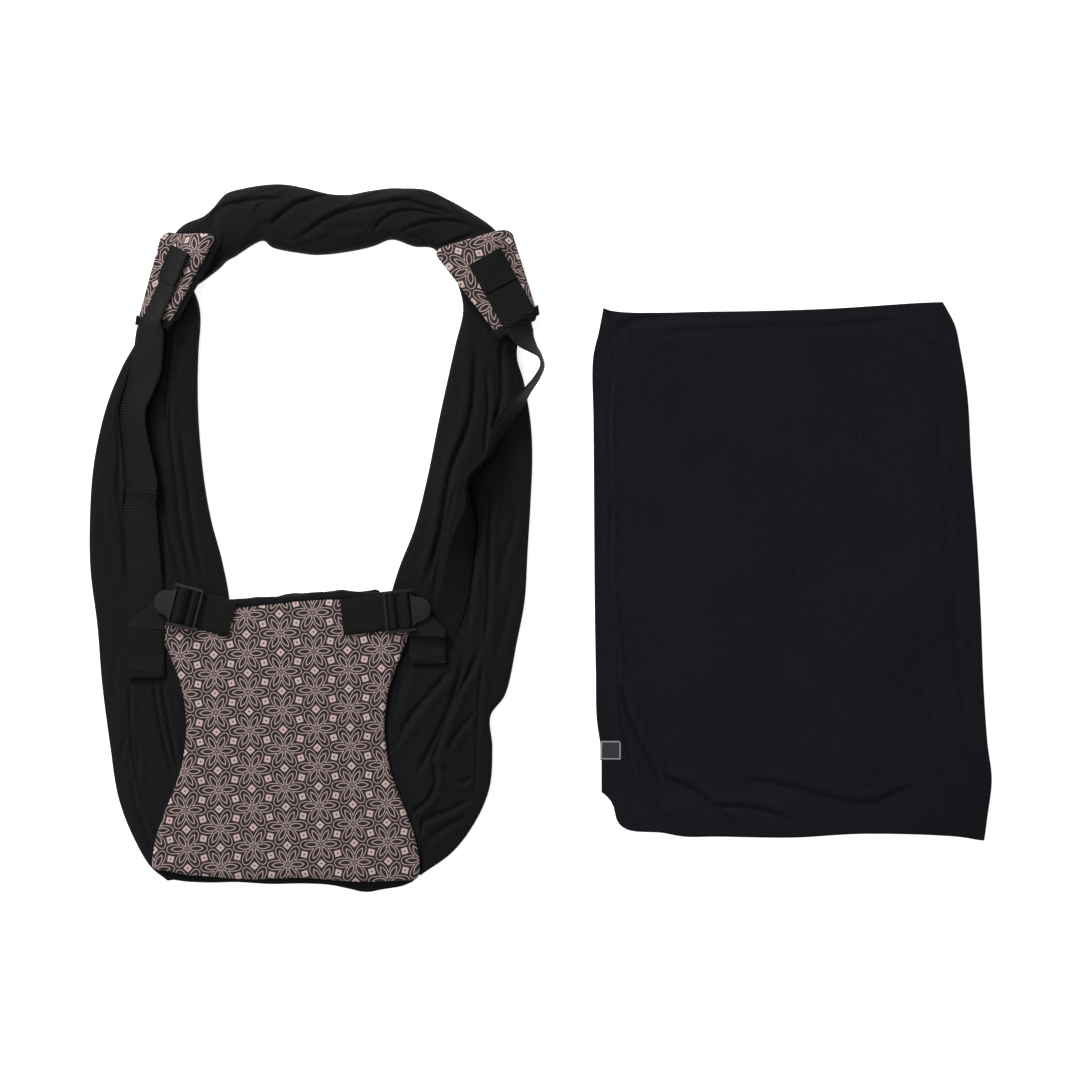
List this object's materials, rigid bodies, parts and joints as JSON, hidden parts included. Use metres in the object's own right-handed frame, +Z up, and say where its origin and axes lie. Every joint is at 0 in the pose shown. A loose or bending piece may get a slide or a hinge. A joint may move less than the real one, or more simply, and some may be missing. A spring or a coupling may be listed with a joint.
{
  "type": "baby wrap sling",
  "caption": "Pull-on jersey baby wrap sling with a padded printed panel and strap adjusters, laid flat beside its folded matching support sash.",
  "frame": {"origin": "on the floor, under the middle of the box that holds the sling and its folded sash", "axes": "+X from the sling to the sash, +Y from the panel to the shoulders, +Z up from the floor"},
  "size_m": [0.949, 0.7446, 0.0561],
  "materials": {
    "jersey": "fine black cotton jersey, matt",
    "printed_cotton": "charcoal cotton printed with pale pink line flowers",
    "webbing": "black polyester webbing, ribbed",
    "wadding": "white polyester wadding",
    "thread": "black polyester thread",
    "label": "plain woven label",
    "lock_plastic": "moulded acetal, fine texture"
  },
  "bodies": {
    "carrier": {"wrap_left_band": "jersey", "wrap_right_band": "jersey", "wrap_front_section": "jersey", "wrap_back_twist": "jersey", "panel_lining": "jersey", "panel_padding": "wadding", "panel_face": "printed_cotton", "panel_top_binding": "jersey", "left_shoulder_lining": "jersey", "left_shoulder_padding": "wadding", "left_shoulder_cover": "printed_cotton", "left_shoulder_binding": "jersey", "left_strap_sewn_end": "webbing", "left_strap_stitching": "thread", "left_adjuster_strap": "webbing", "left_slack_loop": "webbing", "left_strap_turn": "webbing", "left_strap_under_lock": "webbing", "left_anchor_webbing": "webbing", "left_anchor_stitching": "thread", "right_shoulder_lining": "jersey", "right_shoulder_padding": "wadding", "right_shoulder_cover": "printed_cotton", "right_shoulder_binding": "jersey", "right_strap_sewn_end": "webbing", "right_strap_stitching": "thread", "right_adjuster_strap": "webbing", "right_slack_loop": "webbing", "right_strap_turn": "webbing", "right_strap_under_lock": "webbing", "right_anchor_webbing": "webbing", "right_anchor_stitching": "thread"},
    "left_lock": {"left_ladder_lock": "lock_plastic", "left_strap_bight": "webbing"},
    "left_tail": {"left_strap_tail": "webbing"},
    "right_lock": {"right_ladder_lock": "lock_plastic", "right_strap_bight": "webbing"},
    "right_tail": {"right_strap_tail": "webbing"},
    "sash": {"sash_cloth": "jersey", "sash_label": "label"}
  },
  "joints": [
    {"name": "left_lock_tilt", "type": "hinge", "parent": "carrier", "child": "left_lock", "pos_m": [-0.3645, -0.0735, 0.0275], "axis": [0.2487, 0.9686, 0], "range_deg": [0, 20]},
    {"name": "left_tail_pull", "type": "slide", "parent": "carrier", "child": "left_tail", "axis": [-0.9686, 0.2487, 0], "range_m": [0, 0.015]},
    {"name": "right_lock_tilt", "type": "hinge", "parent": "carrier", "child": "right_lock", "pos_m": [-0.1545, -0.077, 0.0275], "axis": [0.1045, -0.9945, 0], "range_deg": [0, 20]},
    {"name": "right_tail_pull", "type": "slide", "parent": "carrier", "child": "right_tail", "axis": [0.9945, 0.1045, 0], "range_m": [0, 0.015]},
    {"name": "sash_lift", "type": "slide", "parent": "carrier", "child": "sash", "axis": [0, 0, 1], "range_m": [0, 0.25]}
  ]
}
